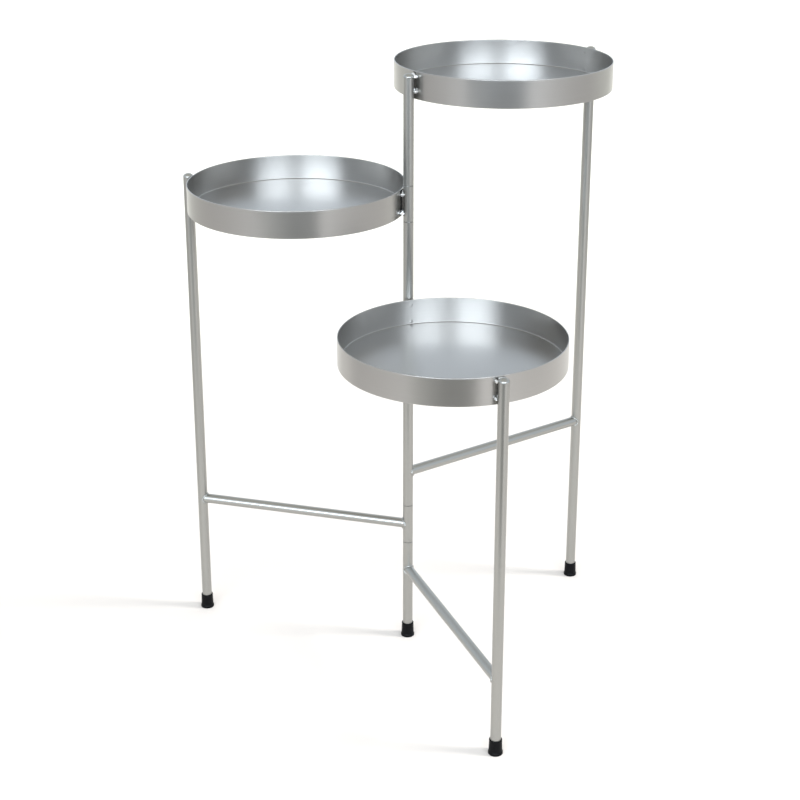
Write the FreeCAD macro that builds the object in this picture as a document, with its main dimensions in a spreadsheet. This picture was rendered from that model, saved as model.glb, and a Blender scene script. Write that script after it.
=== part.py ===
"""Tiered plant stand: three shallow round trays that swing about one post.

Each tray stands in a ladder frame of its own: a sleeve on the post, the tray, an outer leg, and a
cross rail that ties the leg back to the post lower down. The three frames share a pivot rod inside
the post, so the stand opens to three tiers or folds flat. Every outer leg and the post end in a
rubber foot.

Millimetres, +Z up. The origin is on the pivot's axis at floor level. The stand is drawn open, each
frame at the azimuth it has in use.
"""
import FreeCAD, Part
import os
import re
import Sketcher

# Driving dimensions ------------------------------------------------------------------------------

SIZES = {
    # Steel tube of the legs, the post and the rails
    "tube_od": (12.7, "outside diameter of the leg and post tube"),
    "tube_wall": (1.2, "wall of the leg and post tube"),
    "rail_od": (12.2, "outside diameter of the cross rails"),
    "rail_wall": (1.2, "wall of the cross rails"),
    "rail_fit_gap": (0.15, "root gap between a coped rail end and its tube"),
    # Trays
    "tray_od": (265.8, "outside diameter of a tray"),
    "tray_wall_height": (32.6, "height of a tray's rolled wall"),
    "tray_sheet": (1.2, "sheet thickness of tray wall and floor"),
    "tray_floor_recess": (1.0, "height of the floor's underside above the wall's lower edge"),
    "tray_floor_clearance": (0.05, "radial clearance of the floor disc in the wall"),
    "rim_round": (0.4, "rounding of the wall's edges"),
    # Tray height and place of each frame
    "high_rim_height": (748.0, "floor to the rim of the high tray"),
    "mid_rim_height": (606.3, "floor to the rim of the middle tray"),
    "low_rim_height": (469.4, "floor to the rim of the low tray"),
    "high_azimuth": (35.35, "azimuth of the high frame about the post, degrees"),
    "mid_azimuth": (164.65, "azimuth of the middle frame, degrees"),
    "low_azimuth": (-69.05, "azimuth of the low frame, degrees"),
    "high_rail_height": (236.5, "floor to the high frame's rail axis"),
    "mid_rail_height": (163.0, "floor to the middle frame's rail axis"),
    "low_rail_height": (98.2, "floor to the low frame's rail axis"),
    "leg_rise": (1.0, "leg top above its tray's rim"),
    "post_drop": (1.5, "post top below the high rim"),
    # Welds
    "weld_gap": (2.0, "gap between a tray wall and its tubes, bridged by weld beads"),
    "weld_skin": (0.1, "clearance of a weld bead to the metal it joins"),
    "bead_od": (8.4, "size of a tray weld bead, a ball pressed between wall and tube"),
    "bead_inset": (7.0, "bead centre to the wall's upper or lower edge"),
    "rail_weld_leg": (2.6, "reach of a rail weld along the rail"),
    "rail_weld_throat": (1.4, "thickness of a rail weld on the rail"),
    "rail_weld_run_out": (0.2, "thickness of a rail weld where it ends"),
    "rail_weld_wrap": (2.0, "how far a rail weld wraps round the side of the tube"),
    # Knuckles of the post
    "knuckle_gap": (0.4, "gap between two knuckles of the post"),
    "knuckle_chamfer": (0.3, "chamfer on a knuckle's ends"),
    "knuckle_below_rail": (25.0, "middle frame's lower sleeve, below its rail axis"),
    "knuckle_above_rail": (27.1, "middle frame's lower sleeve, above its rail axis"),
    "sleeve_below_tray": (6.3, "upper sleeves, below the tray wall's lower edge"),
    "mid_sleeve_rise": (5.7, "middle frame's upper sleeve, above its rim"),
    "low_sleeve_rise": (0.8, "low frame's upper sleeve, above its rim"),
    # Pivot rod and what retains it
    "pivot_clearance": (0.08, "radial clearance of the pivot rod in the tube's bore"),
    "rod_chamfer": (0.6, "chamfer on the rod's ends"),
    "rod_end_room": (2.0, "room between the rod and the post cap's stem"),
    "screw_od": (5.0, "diameter of the retaining screw"),
    "screw_clearance": (0.05, "radial clearance of the screw in the rod"),
    "screw_length": (14.0, "screw length below its head"),
    "screw_tip": (0.8, "chamfer on the screw's tip"),
    "screw_hole_room": (3.0, "depth of the rod's hole past the screw"),
    "screw_head_od": (8.6, "diameter of the screw's head"),
    "screw_head_height": (2.4, "height of the screw's head"),
    "screw_head_chamfer": (0.7, "chamfer on the screw's head"),
    "screw_room": (0.6, "room between the screw's head and the foot's floor"),
    "slot_width": (1.2, "width of the screw's driver slot"),
    "slot_depth": (1.1, "depth of the screw's driver slot"),
    "washer_inset": (0.45, "washer's edge inside the tube's outside face"),
    "washer_thickness": (1.0, "thickness of the retaining washer"),
    # Domed caps
    "dome_height": (4.4, "height of a cap's dome above the tube's end"),
    "cap_stem_length": (12.0, "length of a cap's stem inside the tube"),
    "cap_stem_clearance": (0.1, "radial clearance of the stem in the tube's bore"),
    # Rubber feet
    "foot_height": (19.0, "height of a rubber foot"),
    "foot_floor": (5.0, "rubber under the tube's end"),
    "foot_bore_clearance": (0.05, "radial clearance of the tube in the foot's bore"),
    "foot_top_wall": (1.2, "wall of the foot at its mouth"),
    "foot_waist_wall": (1.6, "wall of the foot above its base"),
    "foot_base_flare": (0.7, "how far the base stands out from the waist"),
    "foot_base_height": (2.6, "height of the flared base"),
    "foot_base_slope": (1.6, "height over which the base runs back to the waist"),
    "foot_round": (0.45, "rounding of the foot's outer edges"),
}

# What follows from them, each a formula in the names above or in one another
FRAMES = ("high", "mid", "low")
DERIVED = {
    "tube_radius": "tube_od / 2",
    "tube_bore_radius": "tube_radius - tube_wall",
    "tray_radius": "tray_od / 2",
    "leg_radius": "tray_od + tube_od + 2 * weld_gap",
    "tray_centre": "leg_radius / 2",
    "bead_place": "tube_radius + weld_gap / 2",
    "post_top": "high_rim_height - post_drop",
    "post_tube_top": "post_top - dome_height",
    "screw_head_bottom": "foot_floor + screw_room",
    "washer_bottom": "screw_head_bottom + screw_head_height",
    "rod_bottom": "washer_bottom + washer_thickness",
    "rod_top": "post_tube_top - cap_stem_length - rod_end_room",
    "rod_radius": "tube_bore_radius - pivot_clearance",
    "low_mid_line": "mid_rail_height - knuckle_below_rail",
    "mid_high_line": "mid_rail_height + knuckle_above_rail",
    "high_low_line": "low_rim_height - tray_wall_height - sleeve_below_tray",
    "low_spacer_line": "low_rim_height + low_sleeve_rise",
    "spacer_mid_line": "mid_rim_height - tray_wall_height - sleeve_below_tray",
    "mid_top_line": "mid_rim_height + mid_sleeve_rise",
    "half_gap": "knuckle_gap / 2",
    "foot_bore_radius": "tube_radius + foot_bore_clearance",
    "foot_mouth_radius": "foot_bore_radius + foot_top_wall",
    "foot_waist_radius": "foot_bore_radius + foot_waist_wall",
    "foot_base_radius": "foot_waist_radius + foot_base_flare",
    "foot_waist_line": "foot_base_height + foot_base_slope",
}
for frame in FRAMES:
    DERIVED[f"{frame}_leg_top"] = f"{frame}_rim_height + leg_rise"
    DERIVED[f"{frame}_tray_bottom"] = f"{frame}_rim_height - tray_wall_height"

FULL_TURN = 360
SMALL = 1e-6

doc = FreeCAD.newDocument("tiered_plant_stand")
subparts = []


def make_sheet():
    """The spreadsheet of driving dimensions: name, value and meaning, one row each."""
    sheet = doc.addObject("Spreadsheet::Sheet", "Sizes")
    for row, (name, (size, meaning)) in enumerate(SIZES.items(), start=1):
        sheet.set(f"A{row}", name)
        sheet.set(f"B{row}", str(size))
        sheet.set(f"C{row}", meaning)
        sheet.setAlias(f"B{row}", name)
    doc.recompute()
    return sheet


sheet = make_sheet()


def expand(formula):
    """The formula with each size named in the sheet and each derived value written out."""
    def swap(match):
        word = match.group(0)
        if word in DERIVED:
            return "(" + expand(DERIVED[word]) + ")"
        if word in SIZES:
            return "Sizes." + word
        return word
    return re.sub(r"[a-z_]+", swap, formula)


def value(formula):
    """The formula's present value in millimetres."""
    return float(sheet.evalExpression(expand(formula).replace("Sizes.", "")))


def bind(item, path, formula):
    """Ties one property, or one sketch constraint, to a formula in the sheet's names."""
    item.setExpression(path, expand(formula))


def place(item, x="0", y="0", z="0", turn="0"):
    """Ties an object's place to formulas: x, y and z, and a turn about Z in degrees."""
    for axis, formula in (("x", x), ("y", y), ("z", z)):
        if formula != "0":
            bind(item, f"Placement.Base.{axis}", formula)
    if turn != "0":
        bind(item, "Placement.Rotation.Angle", turn)


def along(frame, distance):
    """x and y formulas of the point at this distance from the post along a frame."""
    angle = f"{frame}_azimuth * 1deg"
    return {"x": f"({distance}) * cos({angle})", "y": f"({distance}) * sin({angle})"}


def keep(item, label):
    """Labels a finished sub-part and puts it on the list of those to write."""
    item.Label = label
    subparts.append(item)
    return item


# Ways of making a piece --------------------------------------------------------------------------

def new_body(label, **where):
    body = doc.addObject("PartDesign::Body", label + "_body")
    place(body, **where)
    return keep(body, label)


def new_sketch(body, role, name):
    """A sketch on one of the body's own origin planes."""
    planes = [plane for plane in body.Origin.OriginFeatures if plane.Role == role]
    sketch = body.newObject("Sketcher::SketchObject", name)
    sketch.AttachmentSupport = [(planes[0], "")]
    sketch.MapMode = "FlatFace"
    return sketch


def add_constraint(sketch, formula, *terms):
    """One dimension of a sketch, tied to its formula."""
    index = sketch.addConstraint(Sketcher.Constraint(*terms, value(formula)))
    bind(sketch, f"Constraints[{index}]", formula)


def add_circle(sketch, radius, centre_x="0"):
    """A circle on the sketch's horizontal axis."""
    centre = FreeCAD.Vector(value(centre_x), 0, 0)
    circle = sketch.addGeometry(Part.Circle(centre, FreeCAD.Vector(0, 0, 1), value(radius)), False)
    add_constraint(sketch, radius, "Radius", circle)
    add_constraint(sketch, centre_x, "DistanceX", -1, 1, circle, 3)
    add_constraint(sketch, "0", "DistanceY", -1, 1, circle, 3)


def add_polygon(sketch, points):
    """A closed outline through points given as (across, up) formulas."""
    corners = [FreeCAD.Vector(value(across), value(up), 0) for across, up in points]
    first = sketch.GeometryCount
    count = len(points)
    for i in range(count):
        sketch.addGeometry(Part.LineSegment(corners[i], corners[(i + 1) % count]), False)
    for i in range(count):
        following = first + (i + 1) % count
        sketch.addConstraint(Sketcher.Constraint("Coincident", first + i, 2, following, 1))
    for i, (across, up) in enumerate(points):
        add_constraint(sketch, across, "DistanceX", -1, 1, first + i, 1)
        add_constraint(sketch, up, "DistanceY", -1, 1, first + i, 1)


def add_pad(body, sketch, length):
    pad = body.newObject("PartDesign::Pad", "Pad")
    pad.Profile = sketch
    bind(pad, "Length", length)
    return pad


def round_edges(body, base, radius, chosen):
    """Rounds the base's edges that the function chosen picks."""
    doc.recompute()
    edges = base.Shape.Edges
    names = [f"Edge{i}" for i, edge in enumerate(edges, start=1) if chosen(edge)]
    fillet = body.newObject("PartDesign::Fillet", "Fillet")
    fillet.Base = (base, names)
    bind(fillet, "Radius", radius)
    body.Tip = fillet


def is_circle(edge):
    return isinstance(edge.Curve, Part.Circle)


def padded_ring(label, outer, inner, height, **where):
    """An upright ring, or a disc if it has no inner radius, from its place upward."""
    body = new_body(label, **where)
    sketch = new_sketch(body, "XY_Plane", "Section")
    add_circle(sketch, outer)
    if inner:
        add_circle(sketch, inner)
    pad = add_pad(body, sketch, height)
    return body, pad


def turned(label, outline, **where):
    """A turned piece: its half section, as (radius, height) formulas, turned about its axis."""
    body = new_body(label, **where)
    sketch = new_sketch(body, "XZ_Plane", "HalfSection")
    add_polygon(sketch, outline)
    turning = body.newObject("PartDesign::Revolution", "Turning")
    turning.Profile = sketch
    turning.ReferenceAxis = (sketch, ["V_Axis"])
    turning.Angle = FULL_TURN
    return body, turning


def cylinder(name, radius, height, x="0", z="0"):
    """An upright cylinder used in a boolean."""
    item = doc.addObject("Part::Cylinder", name)
    bind(item, "Radius", radius)
    bind(item, "Height", height)
    place(item, x=x, z=z)
    return item


def joined(name, shapes):
    fuse = doc.addObject("Part::MultiFuse", name)
    fuse.Shapes = shapes
    return fuse


def cut_away(label, base, tools, turn):
    """The base less each tool in turn, then turned to its frame's azimuth."""
    for tool in tools:
        cut = doc.addObject("Part::Cut", label + "_cut")
        cut.Base = base
        cut.Tool = tool
        base = cut
    place(cut, turn=turn)
    return keep(cut, label)


# Pieces that repeat ------------------------------------------------------------------------------

def make_tray_wall(frame):
    """The rolled sheet wall, with its upper and lower edges broken."""
    body, pad = padded_ring(f"{frame}_tray_wall", "tray_radius", "tray_radius - tray_sheet",
                            "tray_wall_height", z=f"{frame}_tray_bottom",
                            **along(frame, "tray_centre"))
    round_edges(body, pad, "rim_round", is_circle)


def make_tray_floor(frame):
    """The floor disc, set inside the wall a little above its lower edge."""
    padded_ring(f"{frame}_tray_floor", "tray_radius - tray_sheet - tray_floor_clearance", None,
                "tray_sheet", z=f"{frame}_tray_bottom + tray_floor_recess",
                **along(frame, "tray_centre"))


def make_leg_tube(frame):
    """The outer leg, from the foot's floor to the cap's dome."""
    padded_ring(f"{frame}_leg_tube", "tube_radius", "tube_bore_radius",
                f"{frame}_leg_top - dome_height - foot_floor", z="foot_floor",
                **along(frame, "leg_radius"))


def make_cap(label, bottom, **where):
    """A domed plug: a half ellipsoid as wide as the tube, on a stem inside it."""
    dome = doc.addObject("Part::Ellipsoid", label + "_dome")
    bind(dome, "Radius1", "dome_height")
    bind(dome, "Radius2", "tube_radius")
    bind(dome, "Radius3", "tube_radius")
    dome.Angle1 = 0
    stem = cylinder(label + "_stem", "tube_bore_radius - cap_stem_clearance", "cap_stem_length",
                    z="0 - cap_stem_length")
    cap = joined(label + "_fuse", [dome, stem])
    place(cap, z=bottom, **where)
    keep(cap, label)


def make_foot(label, **where):
    """A rubber ferrule: tapered body, flared base, and a bore that takes the tube's end."""
    outline = [("0", "0"), ("foot_base_radius", "0"), ("foot_base_radius", "foot_base_height"),
               ("foot_waist_radius", "foot_waist_line"), ("foot_mouth_radius", "foot_height"),
               ("foot_bore_radius", "foot_height"), ("foot_bore_radius", "foot_floor"),
               ("0", "foot_floor")]
    body, turning = turned(label, outline, **where)
    bore = value("foot_bore_radius")
    round_edges(body, turning, "foot_round",
                lambda edge: is_circle(edge) and edge.Curve.Radius > bore + SMALL)


def make_rail(frame):
    """The cross rail from post to leg, coped at each end to sit against the round tubes."""
    body = new_body(f"{frame}_rail", z=f"{frame}_rail_height", turn=f"{frame}_azimuth")
    section = new_sketch(body, "YZ_Plane", "Section")
    add_circle(section, "rail_od / 2")
    add_circle(section, "rail_od / 2 - rail_wall")
    add_pad(body, section, "leg_radius")
    copes = new_sketch(body, "XY_Plane", "Copes")
    add_circle(copes, "tube_radius + rail_fit_gap")
    add_circle(copes, "tube_radius + rail_fit_gap", "leg_radius")
    pocket = body.newObject("PartDesign::Pocket", "Pocket")
    pocket.Profile = copes
    pocket.Type = "ThroughAll"
    pocket.Midplane = True


def make_rail_welds(frame):
    """A weld collar round each end of the rail, tapering from the tube on to the rail."""
    reach = "tube_radius + rail_weld_leg"
    collars = []
    for end, x, half_turn in (("post", reach, 180), ("leg", f"leg_radius - ({reach})", 0)):
        collar = doc.addObject("Part::Cone", f"{frame}_{end}_rail_collar")
        bind(collar, "Radius1", "rail_od / 2 + rail_weld_run_out")
        bind(collar, "Radius2", "rail_od / 2 + rail_weld_throat")
        bind(collar, "Height", "rail_weld_leg + rail_weld_wrap")
        upright = FreeCAD.Rotation(FreeCAD.Vector(0, 1, 0), 90)
        turned_back = FreeCAD.Rotation(FreeCAD.Vector(0, 0, 1), half_turn)
        collar.Placement.Rotation = turned_back.multiply(upright)
        place(collar, x=x)
        collars.append(collar)
    height = f"{frame}_rail_height"
    slack = "rail_od + tube_od"
    tools = [cylinder(f"{frame}_{end}_rail_tube", "tube_radius + weld_skin", f"2 * ({slack})", x,
                      f"0 - ({slack})") for end, x in (("post", "0"), ("leg", "leg_radius"))]
    rail = doc.addObject("Part::Cylinder", f"{frame}_rail_core")
    bind(rail, "Radius", "rail_od / 2 + weld_skin")
    bind(rail, "Height", "leg_radius")
    rail.Placement.Rotation = FreeCAD.Rotation(FreeCAD.Vector(0, 1, 0), 90)
    welds = cut_away(f"{frame}_rail_welds", joined(f"{frame}_rail_collars", collars),
                     tools + [rail], f"{frame}_azimuth")
    place(welds, z=height)


def make_tray_welds(frame):
    """Four beads that hold the tray: two to the post's sleeve and two to the leg."""
    beads = []
    for side, x in (("post", "bead_place"), ("leg", "leg_radius - bead_place")):
        for row, z in (("upper", f"{frame}_rim_height - bead_inset"),
                       ("lower", f"{frame}_tray_bottom + bead_inset")):
            bead = doc.addObject("Part::Sphere", f"{frame}_{side}_{row}_bead")
            bind(bead, "Radius", "bead_od / 2")
            place(bead, x=x, z=z)
            beads.append(bead)
    metal = (("post", "0", "tube_radius"), ("leg", "leg_radius", "tube_radius"),
             ("tray", "tray_centre", "tray_radius"))
    tools = [cylinder(f"{frame}_{name}_metal", f"{radius} + weld_skin", "tray_wall_height", x,
                      f"{frame}_tray_bottom") for name, x, radius in metal]
    cut_away(f"{frame}_tray_welds", joined(f"{frame}_beads", beads), tools, f"{frame}_azimuth")


def make_frame(frame):
    """Everything of one frame except its sleeves on the post."""
    at_leg = along(frame, "leg_radius")
    make_tray_wall(frame)
    make_tray_floor(frame)
    make_leg_tube(frame)
    make_cap(f"{frame}_leg_cap", f"{frame}_leg_top - dome_height", **at_leg)
    make_foot(f"{frame}_leg_foot", **at_leg)
    make_rail(frame)
    make_tray_welds(frame)
    make_rail_welds(frame)


# The post ----------------------------------------------------------------------------------------

def make_knuckle(label, bottom, top):
    """One length of the post's tube with its ends chamfered; top and bottom are its end faces."""
    inner, outer = "tube_bore_radius", "tube_radius"
    shoulder = "tube_radius - knuckle_chamfer"
    length = f"({top}) - ({bottom})"
    turned(label, [(inner, "0"), (shoulder, "0"), (outer, "knuckle_chamfer"),
                   (outer, f"{length} - knuckle_chamfer"), (shoulder, length), (inner, length)],
           z=bottom)


def make_post():
    """The knuckles from the foot up, each half a gap short of the line it shares with the next."""
    lines = ("low_mid_line", "mid_high_line", "high_low_line", "low_spacer_line",
             "spacer_mid_line", "mid_top_line")
    labels = ("mid_lower_sleeve", "high_lower_post_tube", "low_upper_sleeve", "post_spacer",
              "mid_upper_sleeve")
    make_knuckle("low_post_tube", "rod_bottom + knuckle_gap", f"{lines[0]} - half_gap")
    for label, bottom, top in zip(labels, lines, lines[1:]):
        make_knuckle(label, f"{bottom} + half_gap", f"{top} - half_gap")
    make_knuckle("high_upper_post_tube", f"{lines[-1]} + half_gap", "post_tube_top")
    make_cap("post_cap", "post_tube_top")
    make_foot("post_foot")


def make_pivot_rod():
    """The rod that all the knuckles run on, with a blind hole for the retaining screw."""
    length = "rod_top - rod_bottom"
    edge = "rod_radius - rod_chamfer"
    hole = "screw_od / 2 + screw_clearance"
    depth = "screw_length - washer_thickness + screw_hole_room"
    turned("pivot_rod", [(hole, "0"), (edge, "0"), ("rod_radius", "rod_chamfer"),
                         ("rod_radius", f"{length} - rod_chamfer"), (edge, length),
                         ("0", length), ("0", depth), (hole, depth)], z="rod_bottom")


def make_retainer():
    """The washer that keeps the lowest knuckle on the rod, and its slotted screw."""
    padded_ring("retaining_washer", "tube_radius - washer_inset", "screw_od / 2 + screw_clearance",
                "washer_thickness", z="washer_bottom")
    head, shank = "screw_head_od / 2", "screw_od / 2"
    length = "screw_head_height + screw_length"
    body, turning = turned(
        "retaining_screw",
        [("0", "0"), (f"{head} - screw_head_chamfer", "0"), (head, "screw_head_chamfer"),
         (head, "screw_head_height"), (shank, "screw_head_height"),
         (shank, f"{length} - screw_tip"), (f"{shank} - screw_tip", length), ("0", length)],
        z="screw_head_bottom")
    slot = new_sketch(body, "XY_Plane", "Slot")
    half_width, half_length = "slot_width / 2", "screw_head_od"
    add_polygon(slot, [(f"0 - {half_length}", f"0 - {half_width}"), (half_length, f"0 - {half_width}"),
                       (half_length, half_width), (f"0 - {half_length}", half_width)])
    pocket = body.newObject("PartDesign::Pocket", "Pocket")
    pocket.Profile = slot
    pocket.Reversed = True
    bind(pocket, "Length", "slot_depth")


# The whole stand ---------------------------------------------------------------------------------

def check_document():
    """Stops if any object failed to build or any sub-part has no valid solid."""
    for item in doc.Objects:
        bad = {"Invalid", "Error"} & set(item.State)
        if bad:
            raise RuntimeError(f"{item.Label} failed: {sorted(bad)}")
    for item in subparts:
        if item.Shape.isNull() or not item.Shape.isValid() or not item.Shape.Solids:
            raise RuntimeError(f"{item.Label} has no valid solid")


def write_subparts():
    os.makedirs("parts", exist_ok=True)
    for item in subparts:
        item.Shape.exportStep(f"parts/{item.Label}.step")
        box = item.Shape.BoundBox
        print(f"{item.Label:22s} solids {len(item.Shape.Solids)}  volume {item.Shape.Volume:10.1f}"
              f"  z {box.ZMin:7.2f} to {box.ZMax:7.2f}")


for frame in FRAMES:
    make_frame(frame)
make_post()
make_pivot_rod()
make_retainer()
doc.recompute()
check_document()
write_subparts()
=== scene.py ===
# %% [markdown]
# # A folding plant stand with three round trays
#
# The real stand is a small welded job. Three shallow sheet-metal trays each hang in a ladder frame
# of thin tube, and the three frames swing about one post. Everything is finished in satin silver
# and stands on black rubber feet.
#
# The shapes come from the CAD model, which is loaded here as a fixed frame. Blender adds what the
# CAD leaves plain: the finishes, the weld beads and their marks, the seam and the rounded rim of
# each tray, the floor, the light and the camera.

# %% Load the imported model
import math

import bpy
import numpy as np
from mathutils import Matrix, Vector


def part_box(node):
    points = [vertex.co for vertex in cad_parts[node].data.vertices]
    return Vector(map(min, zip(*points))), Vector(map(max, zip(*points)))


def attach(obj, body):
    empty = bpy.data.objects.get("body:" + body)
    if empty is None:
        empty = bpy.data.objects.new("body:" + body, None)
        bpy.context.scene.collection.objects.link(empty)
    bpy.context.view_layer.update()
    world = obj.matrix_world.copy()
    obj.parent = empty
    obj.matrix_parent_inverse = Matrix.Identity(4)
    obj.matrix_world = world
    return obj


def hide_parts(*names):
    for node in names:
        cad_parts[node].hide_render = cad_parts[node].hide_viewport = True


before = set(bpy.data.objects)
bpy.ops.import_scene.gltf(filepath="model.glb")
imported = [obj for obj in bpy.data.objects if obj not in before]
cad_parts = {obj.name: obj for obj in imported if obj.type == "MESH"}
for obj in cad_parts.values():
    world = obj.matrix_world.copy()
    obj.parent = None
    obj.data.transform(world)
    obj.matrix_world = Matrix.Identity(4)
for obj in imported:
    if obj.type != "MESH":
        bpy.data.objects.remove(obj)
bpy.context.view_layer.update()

# %% [markdown]
# ## Where the parts of each frame are
#
# Each tray, leg and rail is found from the box of its CAD node, so a new piece goes where the
# metal is, even if the CAD is changed later.

# %% Measure the three frames
MM = 0.001
SHEET = 1.2 * MM
FRAMES = ("high", "mid", "low")


def middle(node):
    """The middle of a node's box: (lowest corner + highest corner) / 2."""
    low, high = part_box(node)
    return np.array((low + high) / 2)


def measure(name):
    """The places that the pieces of one frame are worked out from, in metres."""
    wall_low, wall_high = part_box(f"{name}_tray_wall")
    leg = middle(f"{name}_leg_tube")
    return {
        "body": f"{name}_frame",
        "azimuth": math.atan2(leg[1], leg[0]),
        "leg_distance": math.hypot(leg[0], leg[1]),
        "tray": middle(f"{name}_tray_wall"),
        "tray_radius": (wall_high.x - wall_low.x) / 2,
        "rim": wall_high.z,
        "bottom": wall_low.z,
        "floor_top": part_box(f"{name}_tray_floor")[1].z,
        "rail_height": middle(f"{name}_rail")[2],
    }


places = {name: measure(name) for name in FRAMES}
leg_low, leg_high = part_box("high_leg_tube")
rail_low, rail_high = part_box("high_rail")
TUBE_RADIUS = (leg_high.x - leg_low.x) / 2
RAIL_RADIUS = (rail_high.z - rail_low.z) / 2
for name, place in places.items():
    print(f"{name}: azimuth {math.degrees(place['azimuth']):.2f}, rim {place['rim']:.4f},"
          f" tray radius {place['tray_radius']:.4f}")

# %% [markdown]
# ## The camera
#
# The photograph looks a little down on the stand from the front. Its height, distance, tilt and
# focal length were solved from the tray rims, the tubes and the four feet. The lens axis meets the
# picture at row 312, above its middle row, so the lens has a small downward shift. In the
# photograph the uprights are parallel, which takes a far larger shift than this one. That shift
# would push the stand out of the views from other sides, so here the legs lean together a little.

# %% Set the camera
IMAGE_SIDE = 800
SENSOR = 36.0
FOCAL_PIXELS = 1606.86
AXIS_ROW = 312
CAMERA_PLACE = (-0.01011, -1.85732, 1.11086)
CAMERA_TILT = 19.549

camera_data = bpy.data.cameras.new("camera")
camera_data.sensor_width = SENSOR
camera_data.lens = FOCAL_PIXELS / IMAGE_SIDE * SENSOR
camera_data.shift_y = (AXIS_ROW - IMAGE_SIDE / 2) / IMAGE_SIDE
camera = bpy.data.objects.new("camera", camera_data)
camera.location = CAMERA_PLACE
camera.rotation_euler = (math.radians(90 - CAMERA_TILT), 0, 0)
bpy.context.scene.collection.objects.link(camera)
bpy.context.scene.camera = camera
print("lens", round(camera_data.lens, 2), "mm, shift", round(camera_data.shift_y, 3))

# %% [markdown]
# ## Helpers for node materials
#
# Each finish below is a short chain of nodes. The first helper adds one node, sets its options, and
# either types a number into a socket or plugs another node's output into it. The last one blends
# two colours with a mix node. That node has sockets of one name for numbers, vectors and colours,
# so its colour sockets are picked by number.

# %% Helpers for the nodes of a finish
COLOUR_A, COLOUR_B, COLOUR_OUT = 6, 7, 2


def add_node(tree, kind, sockets=None, **options):
    """Adds a node to the tree, with its options, and fills its sockets by name or by number."""
    node = tree.nodes.new(kind)
    for option, value in options.items():
        setattr(node, option, value)
    for socket, value in (sockets or {}).items():
        if isinstance(value, bpy.types.NodeSocket):
            tree.links.new(value, node.inputs[socket])
        else:
            node.inputs[socket].default_value = value
    return node


def new_finish(name, metallic, roughness, **constants):
    """A new material and its shader, with what is the same all over typed into the shader."""
    finish = bpy.data.materials.new(name)
    finish.use_nodes = True
    shader = finish.node_tree.nodes["Principled BSDF"]
    shader.inputs["Metallic"].default_value = metallic
    shader.inputs["Roughness"].default_value = roughness
    for socket, value in constants.items():
        shader.inputs[socket.replace("_", " ")].default_value = value
    return finish, finish.node_tree, shader


def mix_colours(tree, factor, first, second):
    """The blend of two colours: first x (1 - factor) + second x factor."""
    return add_node(tree, "ShaderNodeMix", {
        "Factor": factor, COLOUR_A: first, COLOUR_B: second}, data_type="RGBA").outputs[COLOUR_OUT]


# %% [markdown]
# ## Brushed satin silver
#
# The trays and tubes are steel with a satin silver finish. Close up it has fine lines, left by
# brushing: they run round a tray's wall, straight across its floor, and along a tube. A noise
# pattern squeezed hard in one direction gives such lines. They change the colour, the gloss and
# the height a very little, and a slower noise adds the faint clouds of a sprayed coat.
#
# Between a tray and its tube the photograph has a narrow dark line, which is darkest at the middle
# tray. There the wall's colour is darkened as painted shade where the wall comes close to a tube,
# and its finish is made duller. Only its outer face is darkened, because the same metal is bright
# inside.

# %% Brushed silver finish
LINE_FINE = 2600.0
LINE_COARSE = 1100.0
LINE_ALONG = 3.0
LINE_DETAIL, LINE_GRAIN = 3.0, 0.6
LINE_CONTRAST = 0.028
LINE_RELIEF = 0.05
LINE_DEPTH = 0.02 * MM
GLOSS_SPREAD = 0.015
CLOUD_SCALE, CLOUD_DETAIL = 14.0, 4.0
SUM_LOW, SUM_HIGH = 1.0, 2.0
# The painted shade of the crevices: how softly it fades out, and how dull it makes the finish.
PAINTED_SHADE_SOFT = 1.0 * MM
CREVICE_DULLNESS = 0.6
DULL_BELOW = 0.5


def painted_crevice_shade(tree, place, centre, face_radius, tubes):
    """Painted shade for the wall's colour: 1 in the open, and less on the wall's outer face close
    behind a tube, where it stands in for the shade of the crevice. Shade = the larger of a ramp on
    the distance in plan from the tube's axis and 1 inside the wall's middle radius."""
    flat = add_node(tree, "ShaderNodeVectorMath", {
        0: place, 1: (1, 1, 0)}, operation="MULTIPLY").outputs["Vector"]
    from_centre = add_node(tree, "ShaderNodeVectorMath", {
        0: flat, 1: (centre[0], centre[1], 0)}, operation="DISTANCE").outputs["Value"]
    inside = add_node(tree, "ShaderNodeMath", {
        0: from_centre, 1: face_radius}, operation="LESS_THAN").outputs[0]
    shade = None
    for x, y, reach, level in tubes:
        from_tube = add_node(tree, "ShaderNodeVectorMath", {
            0: flat, 1: (x, y, 0)}, operation="DISTANCE").outputs["Value"]
        near = add_node(tree, "ShaderNodeMapRange", {
            "Value": from_tube, "From Min": reach - PAINTED_SHADE_SOFT, "From Max": reach,
            "To Min": level, "To Max": 1.0}).outputs["Result"]
        near = add_node(tree, "ShaderNodeMath", {
            0: near, 1: inside}, operation="MAXIMUM").outputs[0]
        shade = near if shade is None else add_node(tree, "ShaderNodeMath", {
            0: shade, 1: near}, operation="MULTIPLY").outputs[0]
    return shade


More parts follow.
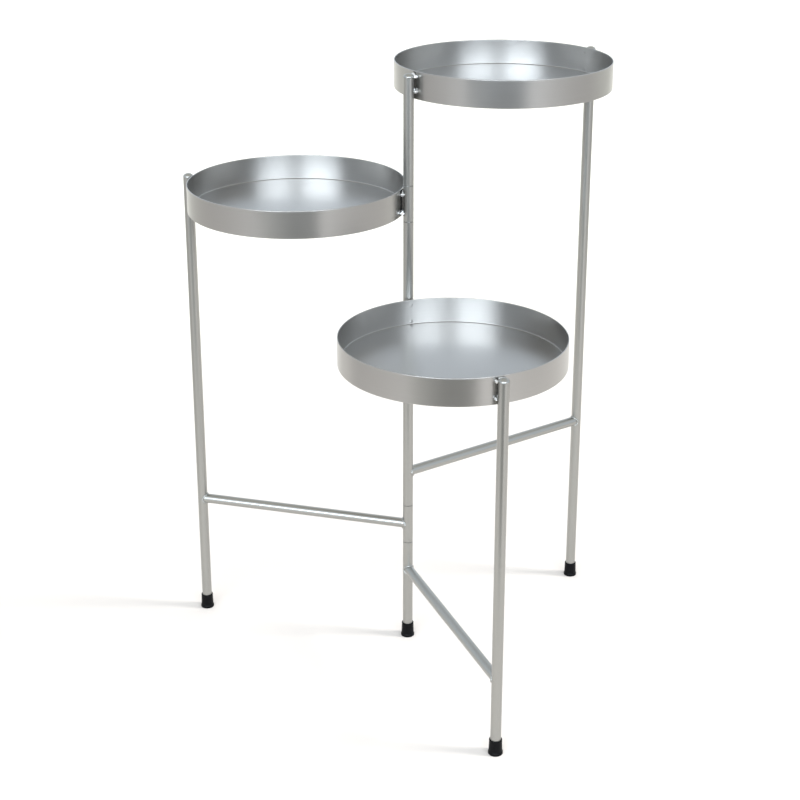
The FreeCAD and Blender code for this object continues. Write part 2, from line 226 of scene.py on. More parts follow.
def brushed_silver(name, colour, roughness, along, centre=(0, 0, 0), turn=0.0, face_radius=0.0,
                   tubes=()):
    """Satin silver with brush lines. along names the object axis that the lines run along after
    the pattern is centred and turned. Pattern = noise(position x scale), where the scale is low
    along the lines and high across them. Two such patterns and the clouds, about 0.5 each, are
    summed, and the sum sets the shade and the gloss."""
    finish, tree, shader = new_finish(name, metallic=1.0, roughness=roughness)
    place = add_node(tree, "ShaderNodeTexCoord").outputs["Object"]
    centred = add_node(tree, "ShaderNodeMapping", {
        "Vector": place, "Location": tuple(-c for c in centre)}).outputs["Vector"]
    turned = add_node(tree, "ShaderNodeMapping", {
        "Vector": centred, "Rotation": (0, 0, -turn)}).outputs["Vector"]
    patterns = []
    for pitch in (LINE_COARSE, LINE_FINE):
        scale = [pitch] * 3
        for axis in along:
            scale["xyz".index(axis)] = LINE_ALONG
        squeezed = add_node(tree, "ShaderNodeMapping", {
            "Vector": turned, "Scale": tuple(scale)}).outputs["Vector"]
        patterns.append(add_node(tree, "ShaderNodeTexNoise", {
            "Vector": squeezed, "Scale": 1.0, "Detail": LINE_DETAIL,
            "Roughness": LINE_GRAIN}).outputs["Fac"])
    clouds = add_node(tree, "ShaderNodeTexNoise", {
        "Vector": centred, "Scale": CLOUD_SCALE, "Detail": CLOUD_DETAIL}).outputs["Fac"]
    both = add_node(tree, "ShaderNodeMath", {0: patterns[0], 1: patterns[1]}, operation="ADD")
    mixed = add_node(tree, "ShaderNodeMath", {
        0: both.outputs[0], 1: clouds}, operation="ADD").outputs[0]
    shade = add_node(tree, "ShaderNodeMapRange", {
        "Value": mixed, "From Min": SUM_LOW, "From Max": SUM_HIGH,
        "To Min": 1.0 - LINE_CONTRAST, "To Max": 1.0 + LINE_CONTRAST}).outputs["Result"]
    tinted = add_node(tree, "ShaderNodeVectorMath", {
        0: colour, "Scale": shade}, operation="SCALE").outputs["Vector"]
    gloss = add_node(tree, "ShaderNodeMapRange", {
        "Value": mixed, "From Min": SUM_LOW, "From Max": SUM_HIGH,
        "To Min": roughness - GLOSS_SPREAD, "To Max": roughness + GLOSS_SPREAD}).outputs["Result"]
    # The painted shade of the crevices: the colour is darkened close behind a tube, and the gloss
    # dulled.
    if tubes:
        painted_shade = painted_crevice_shade(tree, place, centre, face_radius, tubes)
        tinted = add_node(tree, "ShaderNodeVectorMath", {
            0: tinted, "Scale": painted_shade}, operation="SCALE").outputs["Vector"]
        dullness = add_node(tree, "ShaderNodeMapRange", {
            "Value": painted_shade, "From Min": 0.0, "From Max": DULL_BELOW,
            "To Min": CREVICE_DULLNESS, "To Max": 0.0}).outputs["Result"]
        gloss = add_node(tree, "ShaderNodeMath", {
            0: gloss, 1: dullness}, operation="ADD").outputs[0]
    tree.links.new(tinted, shader.inputs["Base Color"])
    tree.links.new(gloss, shader.inputs["Roughness"])
    bump = add_node(tree, "ShaderNodeBump", {
        "Height": both.outputs[0], "Strength": LINE_RELIEF,
        "Distance": LINE_DEPTH}).outputs["Normal"]
    tree.links.new(bump, shader.inputs["Normal"])
    return finish


def paint_node(node, finish):
    """Gives a CAD node its finish by assigning to the material slots of its object."""
    for material_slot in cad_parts[node].material_slots:
        material_slot.material = finish


# %% [markdown]
# A crevice's painted shade is two numbers: how far it reaches from the tube's axis, and how much of
# the silver's brightness is left in it.

# %% Silver of the trays
TRAY_COLOUR = (0.430, 0.422, 0.408)
TRAY_ROUGHNESS = 0.29
# Painted shade behind the leg and the post of each tray: its reach, and the brightness left.
LEG_PAINTED_SHADE = (9.8 * MM, 0.70)
POST_PAINTED_SHADE = {"high": (9.2 * MM, 0.10), "mid": (11.3 * MM, 0.03), "low": (9.8 * MM, 0.70)}
tray_finish = {}
for name, place in places.items():
    centre = tuple(place["tray"])
    leg = middle(f"{name}_leg_tube")
    tubes = ((0.0, 0.0, *POST_PAINTED_SHADE[name]), (leg[0], leg[1], *LEG_PAINTED_SHADE))
    tray_finish[name] = brushed_silver(f"{name}_tray_wall_silver", TRAY_COLOUR, TRAY_ROUGHNESS,
                                       along="xy", centre=centre,
                                       face_radius=place["tray_radius"] - SHEET / 2,
                                       tubes=tubes)
    floor_finish = brushed_silver(f"{name}_tray_floor_silver", TRAY_COLOUR, TRAY_ROUGHNESS,
                                  along="x", centre=centre)
    paint_node(f"{name}_tray_wall", tray_finish[name])
    paint_node(f"{name}_tray_floor", floor_finish)
rim_finish = brushed_silver("tray_rim_silver", TRAY_COLOUR, TRAY_ROUGHNESS, along="xy")
print("tray finishes:", len(tray_finish))

# %% [markdown]
# The tubes look a shade darker than the trays, so they have a colour of their own. The lines run
# up the post and the legs. On a rail they run along the rail, so its pattern is turned to the
# azimuth of the frame.

# %% Silver of the tubes
TUBE_COLOUR = (0.384, 0.382, 0.362)
TUBE_ROUGHNESS = 0.33
POST_TUBES = ("low_post_tube", "mid_lower_sleeve", "high_lower_post_tube", "low_upper_sleeve",
              "post_spacer", "mid_upper_sleeve", "high_upper_post_tube", "post_cap")
upright_silver = brushed_silver("upright_tube_silver", TUBE_COLOUR, TUBE_ROUGHNESS, along="z")
for node in POST_TUBES:
    paint_node(node, upright_silver)
for name, place in places.items():
    paint_node(f"{name}_leg_tube", upright_silver)
    paint_node(f"{name}_leg_cap", upright_silver)
    rail_silver = brushed_silver(f"{name}_rail_silver", TUBE_COLOUR, TUBE_ROUGHNESS, along="x",
                                 turn=place["azimuth"])
    paint_node(f"{name}_rail", rail_silver)
print("tube silver on", len(POST_TUBES) + 3 * len(FRAMES), "nodes")

# %% [markdown]
# ## Rubber feet
#
# Each foot is a pushed-on ferrule of black rubber. Moulded rubber is almost black and has a dull
# shine and a faint pebbled skin, so the finish is dark and not metallic, with a fine noise bump.

# %% Rubber finish
RUBBER_ROUGHNESS = 0.42
RUBBER_DARK, RUBBER_PALE = (0.001, 0.001, 0.001, 1), (0.005, 0.005, 0.006, 1)
RUBBER_GLOSSIEST, RUBBER_DULLEST = 0.32, 0.55
PEBBLE_SCALE, PEBBLE_DETAIL = 1500.0, 2.0
PEBBLE_RELIEF, PEBBLE_DEPTH = 0.35, 0.2 * MM
SCUFF_SCALE, SCUFF_DETAIL, SCUFF_GRAIN = 260.0, 4.0, 0.7
SCUFF_LOW, SCUFF_HIGH = 0.3, 0.7


def black_rubber(name):
    """Dark moulded rubber: colour and roughness follow a coarse noise, height a finer one."""
    finish, tree, shader = new_finish(name, metallic=0.0, roughness=RUBBER_ROUGHNESS, IOR=1.42,
                                      Specular_IOR_Level=0.12)
    place = add_node(tree, "ShaderNodeTexCoord").outputs["Object"]
    pebbles = add_node(tree, "ShaderNodeTexNoise", {
        "Vector": place, "Scale": PEBBLE_SCALE, "Detail": PEBBLE_DETAIL}).outputs["Fac"]
    scuffs = add_node(tree, "ShaderNodeTexNoise", {
        "Vector": place, "Scale": SCUFF_SCALE, "Detail": SCUFF_DETAIL,
        "Roughness": SCUFF_GRAIN}).outputs["Fac"]
    colour = mix_colours(tree, scuffs, RUBBER_DARK, RUBBER_PALE)
    tree.links.new(colour, shader.inputs["Base Color"])
    gloss = add_node(tree, "ShaderNodeMapRange", {
        "Value": scuffs, "From Min": SCUFF_LOW, "From Max": SCUFF_HIGH,
        "To Min": RUBBER_GLOSSIEST, "To Max": RUBBER_DULLEST}).outputs["Result"]
    tree.links.new(gloss, shader.inputs["Roughness"])
    bump = add_node(tree, "ShaderNodeBump", {
        "Height": pebbles, "Strength": PEBBLE_RELIEF,
        "Distance": PEBBLE_DEPTH}).outputs["Normal"]
    tree.links.new(bump, shader.inputs["Normal"])
    return finish


rubber = black_rubber("foot_black_rubber")
feet = [f"{name}_leg_foot" for name in FRAMES] + ["post_foot"]
for node in feet:
    paint_node(node, rubber)
print("rubber on", len(feet), "feet")

# %% [markdown]
# ## Zinc-plated steel
#
# The pivot rod shows only in the hair gaps between the knuckles, and its washer and screw only
# when the post's foot is pulled off. The photograph doesn't tell their finish. They are taken to be
# bright zinc: paler than the silver, with a cloudy spangle that a cell pattern gives.

# %% Zinc finish
ZINC_NODES = ("pivot_rod", "retaining_washer", "retaining_screw")
ZINC_ROUGHNESS = 0.28
ZINC_DARK, ZINC_PALE = (0.50, 0.51, 0.53, 1), (0.66, 0.67, 0.68, 1)
SPANGLE_SCALE = 900.0


def bright_zinc(name):
    """Pale metal whose shade steps from cell to cell of a Voronoi pattern, as spangle does."""
    finish, tree, shader = new_finish(name, metallic=1.0, roughness=ZINC_ROUGHNESS)
    place = add_node(tree, "ShaderNodeTexCoord").outputs["Object"]
    cells = add_node(tree, "ShaderNodeTexVoronoi", {
        "Vector": place, "Scale": SPANGLE_SCALE}).outputs["Color"]
    colour = mix_colours(tree, cells, ZINC_DARK, ZINC_PALE)
    tree.links.new(colour, shader.inputs["Base Color"])
    return finish


zinc = bright_zinc("bright_zinc")
for node in ZINC_NODES:
    paint_node(node, zinc)
print("zinc on", len(ZINC_NODES), "nodes")

# %% [markdown]
# ## Weld metal
#
# The beads between a tray and its tubes look nearly white in the photograph, so their finish is
# pale and a little less metallic. The welds at the ends of the rails look like the tubes, only
# duller. Both kinds have a skin with small waves, which a noise of about a millimetre gives.

# %% Weld finish
WAVE_SCALE, WAVE_DETAIL = 700.0, 3.0
WAVE_RELIEF, WAVE_DEPTH = 0.4, 0.3 * MM


def weld_silver(name, metallic, roughness, dark, pale):
    """Weld metal with a wavy skin: height and shade = noise(place x WAVE_SCALE), where a wave is
    1 / WAVE_SCALE of a metre long."""
    finish, tree, shader = new_finish(name, metallic, roughness)
    place = add_node(tree, "ShaderNodeTexCoord").outputs["Object"]
    waves = add_node(tree, "ShaderNodeTexNoise", {
        "Vector": place, "Scale": WAVE_SCALE, "Detail": WAVE_DETAIL}).outputs["Fac"]
    colour = mix_colours(tree, waves, (*dark, 1), (*pale, 1))
    tree.links.new(colour, shader.inputs["Base Color"])
    bump = add_node(tree, "ShaderNodeBump", {
        "Height": waves, "Strength": WAVE_RELIEF, "Distance": WAVE_DEPTH}).outputs["Normal"]
    tree.links.new(bump, shader.inputs["Normal"])
    return finish


bead_finish = weld_silver("bead_weld_silver", metallic=0.75, roughness=0.28,
                          dark=(0.52, 0.52, 0.51), pale=(0.92, 0.92, 0.90))
ring_finish = weld_silver("ring_weld_silver", metallic=1.0, roughness=0.38,
                          dark=(0.34, 0.34, 0.32), pale=(0.46, 0.46, 0.44))
print("weld finishes:", bead_finish.name, "and", ring_finish.name)

# %% [markdown]
# ## Helpers for computed surfaces
#
# Every new piece is a grid of points worked out at once with numpy. One helper joins the grid's
# points into four-sided faces, one closes a ball's poles, and one turns the result into a mesh
# whose faces look outward, which it tests by the sign of the volume they enclose.

# %% Helpers for computed surfaces
def grid_quads(rows, columns, wrap_rows=True):
    """Quads of a grid whose columns close into rings, with the corners (i, j), (i+1, j),
    (i+1, j+1) and (i, j+1)."""
    last = rows if wrap_rows else rows - 1
    i, j = np.meshgrid(np.arange(last), np.arange(columns), indexing="ij")
    down, right = (i + 1) % rows, (j + 1) % columns
    corners = [i * columns + j, down * columns + j, down * columns + right, i * columns + right]
    return np.stack(corners, axis=-1).reshape(-1, 4)


def pole_fans(rows, columns):
    """Triangles from the first and last ring of a grid to the two pole points that follow it."""
    j = np.arange(columns)
    right = (j + 1) % columns
    top, bottom = rows * columns, rows * columns + 1
    last = (rows - 1) * columns
    first_fan = np.stack([np.full(columns, top), j, right], axis=-1)
    last_fan = np.stack([last + right, last + j, np.full(columns, bottom)], axis=-1)
    return np.concatenate([first_fan, last_fan])


def volume(points, quads, triangles):
    """Enclosed volume: the sum over all triangles of a . (b x c) / 6."""
    halves = [quads[:, [0, 1, 2]], quads[:, [0, 2, 3]], triangles]
    a, b, c = (points[np.concatenate(halves)[:, k]] for k in range(3))
    return float(np.einsum("ij,ij->i", a, np.cross(b, c)).sum() / 6)


def join_solids(solids):
    """One list of points and faces from several, each moved up by the points before it."""
    offsets = np.cumsum([0] + [len(points) for points, _, _ in solids[:-1]])
    points = np.concatenate([solid[0] for solid in solids])
    quads = np.concatenate([solid[1] + start for solid, start in zip(solids, offsets)])
    triangles = np.concatenate([solid[2] + start for solid, start in zip(solids, offsets)])
    return points, quads, triangles


def outward(points, quads, triangles):
    """The same solid with its faces looking outward, turned over if its volume is negative."""
    if volume(points - points.mean(axis=0), quads, triangles) < 0:
        return points, quads[:, ::-1], triangles[:, ::-1]
    return points, quads, triangles


def new_piece(name, solids, finish, body):
    """A mesh object at the origin, made of closed solids, that rides on a body."""
    points, quads, triangles = join_solids([outward(*solid) for solid in solids])
    mesh = bpy.data.meshes.new(name)
    mesh.from_pydata(points.tolist(), [], quads.tolist() + triangles.tolist())
    mesh.polygons.foreach_set("use_smooth", np.ones(len(mesh.polygons), bool))
    mesh.materials.append(finish)
    piece = bpy.data.objects.new(name, mesh)
    bpy.context.scene.collection.objects.link(piece)
    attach(piece, body)
    print(f"{name}: {len(solids)} solids, {len(mesh.polygons)} faces")
    return piece


def stand_up(local, azimuth):
    """Local points (along the frame, across it, up) turned about Z to the frame's azimuth."""
    along, across, up = np.moveaxis(local, -1, 0)
    cos, sin = math.cos(azimuth), math.sin(azimuth)
    return np.stack([along * cos - across * sin, along * sin + across * cos, up], axis=-1)


# %% [markdown]
# ## The beads that hold a tray
#
# A tray comes within 2 mm of its leg and of its sleeve along a line, and a welder ties them there
# near the top and near the bottom. Each weld is a lump on that line and one run in from each side
# of the tube, which is where the photograph shows the bright spots. It could be a plain ball, but
# real ones are never round: here a ball is flattened to fit the crevice, and its radius waves a
# little, differently for each lump. Most welds lie equally far from the wall's edges. At three
# joints the photograph shows other distances, so those joints have numbers of their own.

# %% Weld beads of the trays
BEAD_INSET = 5.4 * MM
POST_INSETS = {"high": (5.4 * MM, 9.5 * MM), "mid": (5.4 * MM, 4.2 * MM)}
LEG_INSETS = {"low": (4.6 * MM, 7.6 * MM)}
GAP = 2.0 * MM
BEAD_SIZE = (2.6 * MM, 3.7 * MM, 4.1 * MM)
BEAD_SHIFT = -0.6 * MM
SIDE_BEAD_SIZE = (2.9 * MM, 1.7 * MM, 2.1 * MM)
SIDE_BEAD_ACROSS = 6.0 * MM
SIDE_BEAD_ALONG = 6.2 * MM
BEAD_PHASE, SIDE_BEAD_PHASE = 1.7, 1.2
BEAD_WAVE = 0.09
ROUND_RIPPLES, UP_RIPPLES, UP_SHARE = 3, 5, 0.8
BEAD_RINGS = 18
BEAD_POINTS = 28


def lump(centre, half_sizes, phase, azimuth, wave=BEAD_WAVE):
    """A closed lump. Point = centre + half sizes x direction(u, v) x (1 + wave x ripples), where u
    runs round and v from pole to pole. The ripples are the sum of sin^2 v sin(3 u + phase) and
    0.8 sin v sin(5 v + 2 phase)."""
    v = np.linspace(0, np.pi, BEAD_RINGS + 2)[1:-1, None]
    u = np.linspace(0, 2 * np.pi, BEAD_POINTS, endpoint=False)[None, :]
    direction = np.stack([np.sin(v) * np.cos(u), np.sin(v) * np.sin(u), np.cos(v) + 0 * u], -1)
    ripples = (np.sin(v) ** 2 * np.sin(ROUND_RIPPLES * u + phase)
               + UP_SHARE * np.sin(v) * np.sin(UP_RIPPLES * v + 2 * phase))
    skin = direction * (1 + wave * ripples)[..., None]
    poles = np.array([[0.0, 0.0, 1.0], [0.0, 0.0, -1.0]])
    local = np.concatenate([skin.reshape(-1, 3), poles]) * np.array(half_sizes) + np.array(centre)
    quads = grid_quads(BEAD_RINGS, BEAD_POINTS, wrap_rows=False)
    return stand_up(local, azimuth), quads, pole_fans(BEAD_RINGS, BEAD_POINTS)


def tray_beads(name, place):
    """An upper and a lower weld at the post's sleeve, and the same at the leg. Each weld is a lump
    on the line of contact and one run in from each side of the tube."""
    beads = []
    usual = (BEAD_INSET, BEAD_INSET)
    joints = ((0.0, 1, POST_INSETS.get(name, usual)),
              (place["leg_distance"], -1, LEG_INSETS.get(name, usual)))
    for side, (distance, towards, (above, below)) in enumerate(joints):
        along = distance + towards * (TUBE_RADIUS + GAP / 2 + BEAD_SHIFT)
        for row, height in enumerate((place["rim"] - above, place["bottom"] + below)):
            phase = BEAD_PHASE * (2 * side + row) + place["azimuth"]
            beads.append(lump((along, 0, height), BEAD_SIZE, phase, place["azimuth"]))
            for hand in (-1, 1):
                corner = (distance + towards * SIDE_BEAD_ALONG, hand * SIDE_BEAD_ACROSS, height)
                beads.append(lump(corner, SIDE_BEAD_SIZE, phase + hand * SIDE_BEAD_PHASE,
                                  place["azimuth"]))
    return beads


for name, place in places.items():
    piece = new_piece(f"{name}_tray_weld_beads", tray_beads(name, place), bead_finish,
                      place["body"])
    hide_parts(f"{name}_tray_welds")

# %% [markdown]
# ## The marks that the welds leave inside a tray
#
# The heat of each bead raises a faint pimple on the inner face of the thin wall. The photograph
# shows two of them, one above the other, inside the low tray. Each is the same lump, pressed
# almost flat against the wall, opposite the usual place of a bead.

# %% Weld marks inside the trays
MARK_SIZE = (0.28 * MM, 2.3 * MM, 2.6 * MM)
MARK_PHASE = 2.3
MARK_WAVE = 0.12


def weld_marks(place):
    """Four flat lumps centred on the wall's inner face, opposite the welds' usual places."""
    marks = []
    for side, distance in enumerate((0.0, place["leg_distance"])):
        towards = 1 - 2 * side
        along = distance + towards * (TUBE_RADIUS + GAP + SHEET)
        for row, height in enumerate((place["rim"] - BEAD_INSET, place["bottom"] + BEAD_INSET)):
            phase = MARK_PHASE * (2 * side + row)
            marks.append(lump((along, 0, height), MARK_SIZE, phase, place["azimuth"], MARK_WAVE))
    return marks


for name, place in places.items():
    new_piece(f"{name}_tray_weld_marks", weld_marks(place), tray_finish[name], place["body"])

# %% [markdown]
# ## The seam inside a tray
#
# Where the wall meets the floor, the photograph shows a thin line that is light at the sides and
# dark at the back, as a small round corner gives. So the seam is a hollow quarter circle carried
# once round the tray.

# %% Seam inside the trays
SEAM_RADIUS = 1.0 * MM
SEAM_SINK = 0.2 * MM
SEAM_ARC_POINTS = 9
ROUND_STEPS = 256


def carried_round(profile, centre, steps):
    """A closed profile of (radius, height) pairs carried round a vertical axis: point(i, j) =
    centre + (r_j cos a_i, r_j sin a_i, z_j)."""
    angle = np.linspace(0, 2 * np.pi, steps, endpoint=False)[:, None]
    radius, height = profile[:, 0][None, :], profile[:, 1][None, :]
    points = np.stack([centre[0] + radius * np.cos(angle), centre[1] + radius * np.sin(angle),
                       height + 0 * angle], axis=-1)
    return points.reshape(-1, 3), grid_quads(steps, len(profile)), np.empty((0, 3), int)


def seam_profile(wall_radius, floor_top):
    """A hollow quarter circle tangent to wall and floor, closed through the metal behind it."""
    t = np.linspace(0, np.pi / 2, SEAM_ARC_POINTS)
    arc = np.stack([wall_radius - SEAM_RADIUS + SEAM_RADIUS * np.cos(t),
                    floor_top + SEAM_RADIUS - SEAM_RADIUS * np.sin(t)], axis=-1)
    inner, outer = wall_radius - SEAM_RADIUS, wall_radius + SEAM_SINK
    low, high = floor_top - SEAM_SINK, floor_top + SEAM_RADIUS
    behind = np.array([[inner, low], [outer, low], [outer, high]])
    return np.concatenate([arc, behind])


for name, place in places.items():
    profile = seam_profile(place["tray_radius"] - SHEET, place["floor_top"])
    new_piece(f"{name}_tray_seam", [carried_round(profile, place["tray"], ROUND_STEPS)],
              tray_finish[name], place["body"])

# %% [markdown]
# ## The rim of a tray
#
# In the photograph the upper edge of each wall is a thin bright line, as on sheet whose edge is
# rounded over and catches the front light. A round wire as thick as the sheet, laid along the top
# of the wall and half sunk in it, does the same. The wall could be bevelled instead, but a CAD mesh
# stays as it is.

# %% Rounded rims
LIP_POINTS = 16


def lip_profile(wall_radius, rim):
    """A circle as wide as the sheet, (r + h cos s, z + h sin s), centred on the wall's top edge."""
    s = np.linspace(0, 2 * np.pi, LIP_POINTS, endpoint=False)
    return np.stack([wall_radius - SHEET / 2 + SHEET / 2 * np.cos(s),
                     rim + SHEET / 2 * np.sin(s)], axis=-1)


for name, place in places.items():
    profile = lip_profile(place["tray_radius"], place["rim"])
    new_piece(f"{name}_tray_rim", [carried_round(profile, place["tray"], ROUND_STEPS)],
              rim_finish, place["body"])

# %% [markdown]
# ## The welds at the ends of a rail
#
# Each end of a rail is cut to fit round the tube and welded all the way round. The weld follows
# the saddle line where two round tubes meet, and its surface has the scales of a bead laid in
# small steps. It is a ring: a round section carried along the saddle line, whose radius pulses.

# %% Welds of the rails
WELD_RADIUS = 1.5 * MM
WELD_LEAST, WELD_PULSE = 0.92, 0.14
WELD_SCALES = 22
WELD_STEPS = 264
WELD_POINTS = 16


def saddle_ring(post_distance, towards, rail_height, azimuth):
    """A ring along the saddle line. With t round the rail, the line is at
    along = sqrt(R^2 - (r sin t)^2), across = r sin t, up = r cos t, and the section has radius
    w (least + pulse x |sin(n t / 2)|), so n scales follow one another."""
    t = np.linspace(0, 2 * np.pi, WELD_STEPS, endpoint=False)[:, None]
    s = np.linspace(0, 2 * np.pi, WELD_POINTS, endpoint=False)[None, :]
    across, up = RAIL_RADIUS * np.sin(t), RAIL_RADIUS * np.cos(t)
    along = np.sqrt(TUBE_RADIUS ** 2 - np.clip(across, -TUBE_RADIUS, TUBE_RADIUS) ** 2)
    width = WELD_RADIUS * (WELD_LEAST + WELD_PULSE * np.abs(np.sin(WELD_SCALES * t / 2)))
    out = width * np.cos(s)
    local = np.stack([post_distance + towards * (along + width * np.sin(s)),
                      across + out * np.sin(t), rail_height + up + out * np.cos(t)], axis=-1)
    return (stand_up(local.reshape(-1, 3), azimuth), grid_quads(WELD_STEPS, WELD_POINTS),
            np.empty((0, 3), int))


for name, place in places.items():
    rings = [saddle_ring(distance, towards, place["rail_height"], place["azimuth"])
             for distance, towards in ((0.0, 1), (place["leg_distance"], -1))]
    piece = new_piece(f"{name}_rail_weld_rings", rings, ring_finish, place["body"])
    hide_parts(f"{name}_rail_welds")

# %% [markdown]
# ## Floor
#
# The stand was photographed on a white sweep. A wide disc of pale matt paint does the same, and
# takes the soft shadows that run to the left of the feet. Its colour is a little warm near the
# stand and almost white behind it, and it is dimmer to both sides. The whiter paint far off is
# painted light: it makes up for the lamps' light, which falls off behind the stand, so the floor
# stays white there. The metal mirrors it, so this sets how bright the sides of the tray walls are.

# %% Floor
FLOOR_RADIUS = 14.0
FLOOR_RINGS = 24
FLOOR_POINTS = 96
NEAR_FLOOR, FAR_FLOOR = 0.2, 2.2
NEAR_COLOUR = (0.762, 0.712, 0.668, 1)
FAR_COLOUR = (0.995, 0.965, 0.880, 1)
VIEW_SLOPE = -0.25
BRIGHT_MIDDLE, DIM_START, DIM_END = 0.25, 0.72, 1.70
SIDE_LEVEL = 0.66


def floor_disc():
    """Rings of points with the radii R (i / n)^2, flat at height 0 and closed at the middle."""
    radius = FLOOR_RADIUS * (np.arange(1, FLOOR_RINGS + 1) / FLOOR_RINGS)[:, None] ** 2
    angle = np.linspace(0, 2 * np.pi, FLOOR_POINTS, endpoint=False)[None, :]
    rings = np.stack([radius * np.cos(angle), radius * np.sin(angle), 0 * radius * angle], -1)
    points = np.concatenate([rings.reshape(-1, 3), np.zeros((1, 3))])
    quads = grid_quads(FLOOR_RINGS, FLOOR_POINTS, wrap_rows=False)
    j = np.arange(FLOOR_POINTS)
    fan = np.stack([np.full(FLOOR_POINTS, len(points) - 1), j, (j + 1) % FLOOR_POINTS], axis=-1)
    return points, quads, fan


points, quads, fan = floor_disc()
floor_mesh = bpy.data.meshes.new("studio_floor")
floor_mesh.from_pydata(points.tolist(), [], quads[:, ::-1].tolist() + fan.tolist())
floor = bpy.data.objects.new("studio_floor", floor_mesh)
bpy.context.scene.collection.objects.link(floor)
floor_paint, tree, shader = new_finish("floor_paint", metallic=0.0, roughness=0.9,
                                       Specular_IOR_Level=0.1)
place = add_node(tree, "ShaderNodeTexCoord").outputs["Object"]
sides = add_node(tree, "ShaderNodeSeparateXYZ", {"Vector": place})
# Painted light: the paint gets whiter far off, where the lamps light the floor less.
sweep = add_node(tree, "ShaderNodeMapRange", {
    "Value": sides.outputs["Y"], "From Min": NEAR_FLOOR, "From Max": FAR_FLOOR, "To Min": 0.0,
    "To Max": 1.0}, interpolation_type="SMOOTHSTEP").outputs["Result"]
floor_colour = mix_colours(tree, sweep, NEAR_COLOUR, FAR_COLOUR)
off_centre = add_node(tree, "ShaderNodeMath", {
    0: sides.outputs["X"], 1: BRIGHT_MIDDLE}, operation="SUBTRACT").outputs[0]
across = add_node(tree, "ShaderNodeMath", {0: off_centre}, operation="ABSOLUTE").outputs[0]
beside = add_node(tree, "ShaderNodeMath", {
    0: sides.outputs["Y"], 1: VIEW_SLOPE, 2: across}, operation="MULTIPLY_ADD").outputs[0]
dimming = add_node(tree, "ShaderNodeMapRange", {
    "Value": beside, "From Min": DIM_START, "From Max": DIM_END, "To Min": 1.0,
    "To Max": SIDE_LEVEL}, interpolation_type="SMOOTHSTEP").outputs["Result"]
dimmed = add_node(tree, "ShaderNodeVectorMath", {
    0: floor_colour, "Scale": dimming}, operation="SCALE").outputs["Vector"]
tree.links.new(dimmed, shader.inputs["Base Color"])
floor_mesh.materials.append(floor_paint)
print("floor:", len(floor_mesh.polygons), "faces, radius", FLOOR_RADIUS, "m")

# %% [markdown]
# ## Light
#
# The photograph is lit softly from all round. How its studio was set up isn't known: the lamps here
# were placed so that their mirror images fall where the photograph has them. The world gives
# daylight from all round, a little bluish low down and warmer and dimmer overhead, as under a
# ceiling.

# %% World
DAYLIGHT = (0.90, 1.0, 1.11)
CEILING = (0.80, 0.79, 0.75)
CEILING_START, CEILING_END = 0.45, 0.85
WORLD_STRENGTH = 1.04
world = bpy.data.worlds.new("studio")
bpy.context.scene.world = world
world.use_nodes = True
background = world.node_tree.nodes["Background"]
tree = world.node_tree
direction = add_node(tree, "ShaderNodeTexCoord").outputs["Generated"]
up = add_node(tree, "ShaderNodeSeparateXYZ", {"Vector": direction}).outputs["Z"]
rise = add_node(tree, "ShaderNodeMapRange", {
    "Value": up, "From Min": CEILING_START, "From Max": CEILING_END}).outputs["Result"]
sky = mix_colours(tree, rise, (*DAYLIGHT, 1), (*CEILING, 1))
tree.links.new(sky, background.inputs["Color"])
background.inputs["Strength"].default_value = WORLD_STRENGTH
print("world strength", WORLD_STRENGTH)

# %% [markdown]
# A wide softbox stands in front, and one on each side of it. Those two make the two bright bands
# inside each tray: the hollow wall mirrors them, the left one on the right. Each is an area lamp,
# because its straight edges give the bands their edges.

# %% Softboxes
AIM = Vector((0.0, 0.0, 0.45))
FRONT_POWER, RIGHT_POWER, LEFT_POWER = 170.0, 108.0, 158.0


def softbox(name, azimuth, distance, height, width, tall, power):
    """A rectangular lamp of daylight that looks at the stand. azimuth is measured in degrees from
    the camera's side, positive to the right, and the camera doesn't see the lamp."""
    lamp = bpy.data.lights.new(name, "AREA")
    lamp.shape = "RECTANGLE"
    lamp.size, lamp.size_y = width, tall
    lamp.energy = power
    lamp.color = DAYLIGHT
    box = bpy.data.objects.new(name, lamp)
    angle = math.radians(azimuth)
    box.location = (distance * math.sin(angle), -distance * math.cos(angle), height)
    box.rotation_euler = (AIM - box.location).to_track_quat("-Z", "Y").to_euler()
    box.visible_camera = False
    bpy.context.scene.collection.objects.link(box)
    print(f"{name}: {width} x {tall} m, power {power}")


softbox("front_softbox", azimuth=0, distance=6.5, height=2.6, width=9.5, tall=2.4,
        power=FRONT_POWER)
softbox("right_softbox", azimuth=29, distance=6.0, height=2.5, width=4.0, tall=2.1,
        power=RIGHT_POWER)
softbox("left_softbox", azimuth=-26, distance=6.0, height=2.5, width=4.4, tall=2.1,
        power=LEFT_POWER)

# %% [markdown]
# A low lamp with a wide disc, far off to the right, makes the soft shadows, and the metal doesn't
# mirror it. It is of Blender's sun kind, so only its direction counts, not its place.

# %% Side lamp
SIDE_AZIMUTH, SIDE_HEIGHT_ANGLE, SIDE_SPREAD = 84.0, 30.0, 15.0
SIDE_STRENGTH = 2.5
SIDE_DISTANCE = 3.0
side_lamp = bpy.data.lights.new("side_lamp", "SUN")
side_lamp.energy = SIDE_STRENGTH
side_lamp.angle = math.radians(SIDE_SPREAD)
side = bpy.data.objects.new("side_lamp", side_lamp)
turn, rise = math.radians(SIDE_AZIMUTH), math.radians(SIDE_HEIGHT_ANGLE)
towards_lamp = Vector((math.cos(rise) * math.sin(turn), -math.cos(rise) * math.cos(turn),
                       math.sin(rise)))
side.location = AIM + SIDE_DISTANCE * towards_lamp
side.rotation_euler = towards_lamp.to_track_quat("Z", "Y").to_euler()
side.visible_glossy = False
bpy.context.scene.collection.objects.link(side)
print("side lamp: azimuth", SIDE_AZIMUTH, "degrees, height angle", SIDE_HEIGHT_ANGLE, "degrees")

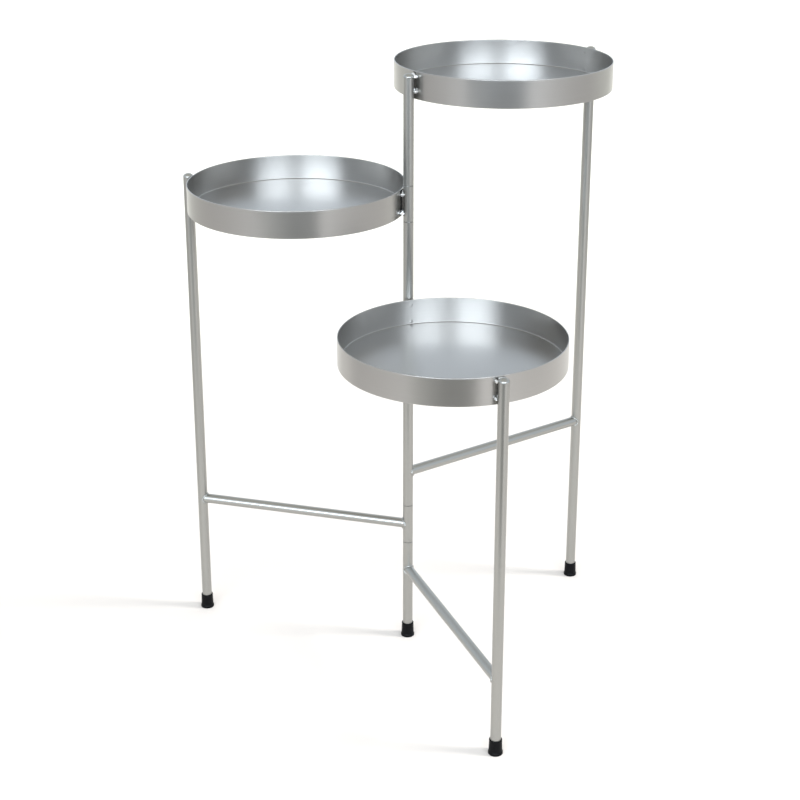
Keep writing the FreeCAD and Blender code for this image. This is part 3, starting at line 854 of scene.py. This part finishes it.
# %% [markdown]
# The front of each tray is darker than its sides in the photograph, so something dark was in front
# of the stand. A grey card lies there, outside the picture. It is dark ahead and to the right,
# paler to the left and almost black far off. It shows only in reflections, not to the camera.

# %% Grey card in front
CARD_NEAR, CARD_FAR, CARD_HEIGHT = 0.75, 9.0, 0.004
CARD_LEFT, CARD_RIGHT = math.tan(math.radians(42)), math.tan(math.radians(25))
CARD_DARK = (0.190, 0.176, 0.152, 1)
CARD_PALE = (0.560, 0.530, 0.480, 1)
CARD_FADE_START, CARD_FADE_END, CARD_FAR_LEVEL = -2.1, -2.9, 0.05
CARD_APEX, CARD_DARK_SLOPE = 0.2, 0.1
card_mesh = bpy.data.meshes.new("front_card")
near, far = CARD_NEAR - CARD_APEX, CARD_FAR - CARD_APEX
card_mesh.from_pydata([(-near * CARD_LEFT, -CARD_NEAR, CARD_HEIGHT),
                       (-far * CARD_LEFT, -CARD_FAR, CARD_HEIGHT),
                       (far * CARD_RIGHT, -CARD_FAR, CARD_HEIGHT),
                       (near * CARD_RIGHT, -CARD_NEAR, CARD_HEIGHT)], [], [(0, 1, 2, 3)])
card = bpy.data.objects.new("front_card", card_mesh)
bpy.context.scene.collection.objects.link(card)
card_paint, tree, shader = new_finish("card_grey", metallic=0.0, roughness=0.8,
                                      Specular_IOR_Level=0.1)
place = add_node(tree, "ShaderNodeTexCoord").outputs["Object"]
sides = add_node(tree, "ShaderNodeSeparateXYZ", {"Vector": place})
slope = add_node(tree, "ShaderNodeMath", {
    0: sides.outputs["X"], 1: sides.outputs["Y"]}, operation="DIVIDE").outputs[0]
fade = add_node(tree, "ShaderNodeMapRange", {
    "Value": slope, "From Min": CARD_DARK_SLOPE, "From Max": CARD_LEFT}).outputs["Result"]
card_colour = mix_colours(tree, fade, CARD_DARK, CARD_PALE)
distance = add_node(tree, "ShaderNodeMapRange", {
    "Value": sides.outputs["Y"], "From Min": CARD_FADE_START, "From Max": CARD_FADE_END,
    "To Min": 1.0, "To Max": CARD_FAR_LEVEL}).outputs["Result"]
card_shade = add_node(tree, "ShaderNodeVectorMath", {
    0: card_colour, "Scale": distance}, operation="SCALE").outputs["Vector"]
tree.links.new(card_shade, shader.inputs["Base Color"])
card_mesh.materials.append(card_paint)
card.visible_camera = False
card.visible_shadow = False
card.visible_diffuse = False
print("card: from", CARD_NEAR, "to", CARD_FAR, "m in front of the post")

# %% [markdown]
# ## Colour management
#
# Blender's usual view, AgX, softens bright tones, so the white sweep would look grey. The Standard
# view shows each colour as it was worked out.

# %% Colour management
bpy.context.scene.view_settings.view_transform = "Standard"
bpy.context.scene.view_settings.look = "None"
print("view:", bpy.context.scene.view_settings.view_transform)
